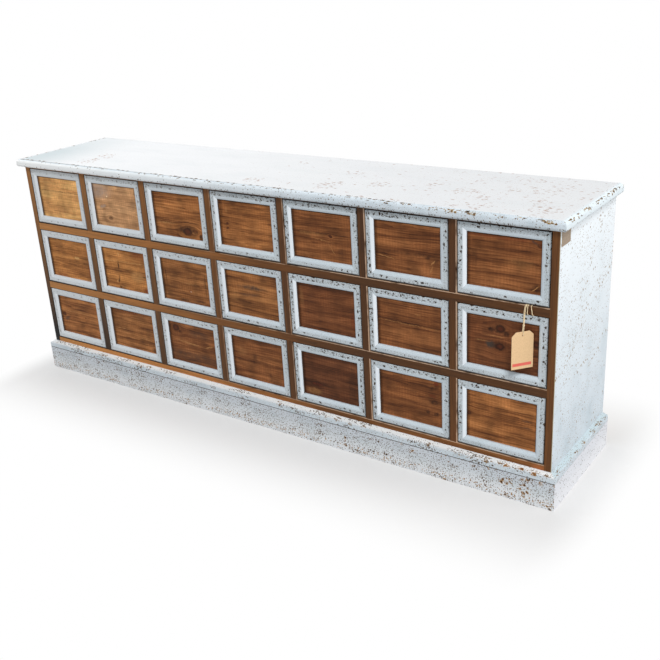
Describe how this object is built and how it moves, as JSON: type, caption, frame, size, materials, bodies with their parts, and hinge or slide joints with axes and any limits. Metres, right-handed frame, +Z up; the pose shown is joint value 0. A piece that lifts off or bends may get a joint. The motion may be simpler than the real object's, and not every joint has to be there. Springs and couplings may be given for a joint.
{
  "type": "multi-drawer sideboard",
  "caption": "Long low sideboard of pine: rows of inset drawers with mitred picture-frame fronts that slide out of a face frame, on a capped plinth, under an overhanging top.",
  "frame": {"origin": "on the floor, under the middle of the top's outline", "axes": "+X along the width, to the right seen from the front; the drawers open towards -Y; +Z up"},
  "size_m": [2.2, 0.4765, 0.872],
  "materials": {
    "painted_pine": "pale blue-white milk paint, distressed, worn through to brown wood in chips",
    "stained_pine": "brown stain, waxed, satin",
    "bare_pine": "planed, unfinished",
    "kraft_card": "brown card, matt",
    "jute_twine": "twisted jute, matt"
  },
  "bodies": {
    "carcass": {"end_stiles": "stained_pine", "face_frame_rails": "stained_pine", "muntins": "stained_pine", "partitions": "bare_pine", "side_panel_left": "painted_pine", "side_panel_right": "painted_pine", "back_panel": "bare_pine", "bottom_board": "bare_pine", "base_bearers": "bare_pine", "top_bearers": "bare_pine", "drawer_runners": "bare_pine", "drawer_stops": "bare_pine", "top_board": "painted_pine", "top_edging": "painted_pine", "plinth_boards": "painted_pine", "plinth_cap": "painted_pine"},
    "drawer_r1c1": {"drawer_r1c1_frame": "painted_pine", "drawer_r1c1_box": "stained_pine"},
    "drawer_r1c2": {"drawer_r1c2_frame": "painted_pine", "drawer_r1c2_box": "stained_pine"},
    "drawer_r1c3": {"drawer_r1c3_frame": "painted_pine", "drawer_r1c3_box": "stained_pine"},
    "drawer_r1c4": {"drawer_r1c4_frame": "painted_pine", "drawer_r1c4_box": "stained_pine"},
    "drawer_r1c5": {"drawer_r1c5_frame": "painted_pine", "drawer_r1c5_box": "stained_pine"},
    "drawer_r1c6": {"drawer_r1c6_frame": "painted_pine", "drawer_r1c6_box": "stained_pine"},
    "drawer_r1c7": {"drawer_r1c7_frame": "painted_pine", "drawer_r1c7_box": "stained_pine"},
    "drawer_r2c1": {"drawer_r2c1_frame": "painted_pine", "drawer_r2c1_box": "stained_pine"},
    "drawer_r2c2": {"drawer_r2c2_frame": "painted_pine", "drawer_r2c2_box": "stained_pine"},
    "drawer_r2c3": {"drawer_r2c3_frame": "painted_pine", "drawer_r2c3_box": "stained_pine"},
    "drawer_r2c4": {"drawer_r2c4_frame": "painted_pine", "drawer_r2c4_box": "stained_pine"},
    "drawer_r2c5": {"drawer_r2c5_frame": "painted_pine", "drawer_r2c5_box": "stained_pine"},
    "drawer_r2c6": {"drawer_r2c6_frame": "painted_pine", "drawer_r2c6_box": "stained_pine"},
    "drawer_r2c7": {"drawer_r2c7_frame": "painted_pine", "drawer_r2c7_box": "stained_pine", "swing_tag": "kraft_card", "tag_twine": "jute_twine"},
    "drawer_r3c1": {"drawer_r3c1_frame": "painted_pine", "drawer_r3c1_box": "stained_pine"},
    "drawer_r3c2": {"drawer_r3c2_frame": "painted_pine", "drawer_r3c2_box": "stained_pine"},
    "drawer_r3c3": {"drawer_r3c3_frame": "painted_pine", "drawer_r3c3_box": "stained_pine"},
    "drawer_r3c4": {"drawer_r3c4_frame": "painted_pine", "drawer_r3c4_box": "stained_pine"},
    "drawer_r3c5": {"drawer_r3c5_frame": "painted_pine", "drawer_r3c5_box": "stained_pine"},
    "drawer_r3c6": {"drawer_r3c6_frame": "painted_pine", "drawer_r3c6_box": "stained_pine"},
    "drawer_r3c7": {"drawer_r3c7_frame": "painted_pine", "drawer_r3c7_box": "stained_pine"}
  },
  "joints": [
    {"name": "drawer_r1c1_slide", "type": "slide", "parent": "carcass", "child": "drawer_r1c1", "axis": [0, -1, 0], "range_m": [0, 0.26]},
    {"name": "drawer_r1c2_slide", "type": "slide", "parent": "carcass", "child": "drawer_r1c2", "axis": [0, -1, 0], "range_m": [0, 0.26]},
    {"name": "drawer_r1c3_slide", "type": "slide", "parent": "carcass", "child": "drawer_r1c3", "axis": [0, -1, 0], "range_m": [0, 0.26]},
    {"name": "drawer_r1c4_slide", "type": "slide", "parent": "carcass", "child": "drawer_r1c4", "axis": [0, -1, 0], "range_m": [0, 0.26]},
    {"name": "drawer_r1c5_slide", "type": "slide", "parent": "carcass", "child": "drawer_r1c5", "axis": [0, -1, 0], "range_m": [0, 0.26]},
    {"name": "drawer_r1c6_slide", "type": "slide", "parent": "carcass", "child": "drawer_r1c6", "axis": [0, -1, 0], "range_m": [0, 0.26]},
    {"name": "drawer_r1c7_slide", "type": "slide", "parent": "carcass", "child": "drawer_r1c7", "axis": [0, -1, 0], "range_m": [0, 0.26]},
    {"name": "drawer_r2c1_slide", "type": "slide", "parent": "carcass", "child": "drawer_r2c1", "axis": [0, -1, 0], "range_m": [0, 0.26]},
    {"name": "drawer_r2c2_slide", "type": "slide", "parent": "carcass", "child": "drawer_r2c2", "axis": [0, -1, 0], "range_m": [0, 0.26]},
    {"name": "drawer_r2c3_slide", "type": "slide", "parent": "carcass", "child": "drawer_r2c3", "axis": [0, -1, 0], "range_m": [0, 0.26]},
    {"name": "drawer_r2c4_slide", "type": "slide", "parent": "carcass", "child": "drawer_r2c4", "axis": [0, -1, 0], "range_m": [0, 0.26]},
    {"name": "drawer_r2c5_slide", "type": "slide", "parent": "carcass", "child": "drawer_r2c5", "axis": [0, -1, 0], "range_m": [0, 0.26]},
    {"name": "drawer_r2c6_slide", "type": "slide", "parent": "carcass", "child": "drawer_r2c6", "axis": [0, -1, 0], "range_m": [0, 0.26]},
    {"name": "drawer_r2c7_slide", "type": "slide", "parent": "carcass", "child": "drawer_r2c7", "axis": [0, -1, 0], "range_m": [0, 0.26]},
    {"name": "drawer_r3c1_slide", "type": "slide", "parent": "carcass", "child": "drawer_r3c1", "axis": [0, -1, 0], "range_m": [0, 0.26]},
    {"name": "drawer_r3c2_slide", "type": "slide", "parent": "carcass", "child": "drawer_r3c2", "axis": [0, -1, 0], "range_m": [0, 0.26]},
    {"name": "drawer_r3c3_slide", "type": "slide", "parent": "carcass", "child": "drawer_r3c3", "axis": [0, -1, 0], "range_m": [0, 0.26]},
    {"name": "drawer_r3c4_slide", "type": "slide", "parent": "carcass", "child": "drawer_r3c4", "axis": [0, -1, 0], "range_m": [0, 0.26]},
    {"name": "drawer_r3c5_slide", "type": "slide", "parent": "carcass", "child": "drawer_r3c5", "axis": [0, -1, 0], "range_m": [0, 0.26]},
    {"name": "drawer_r3c6_slide", "type": "slide", "parent": "carcass", "child": "drawer_r3c6", "axis": [0, -1, 0], "range_m": [0, 0.26]},
    {"name": "drawer_r3c7_slide", "type": "slide", "parent": "carcass", "child": "drawer_r3c7", "axis": [0, -1, 0], "range_m": [0, 0.26]}
  ]
}
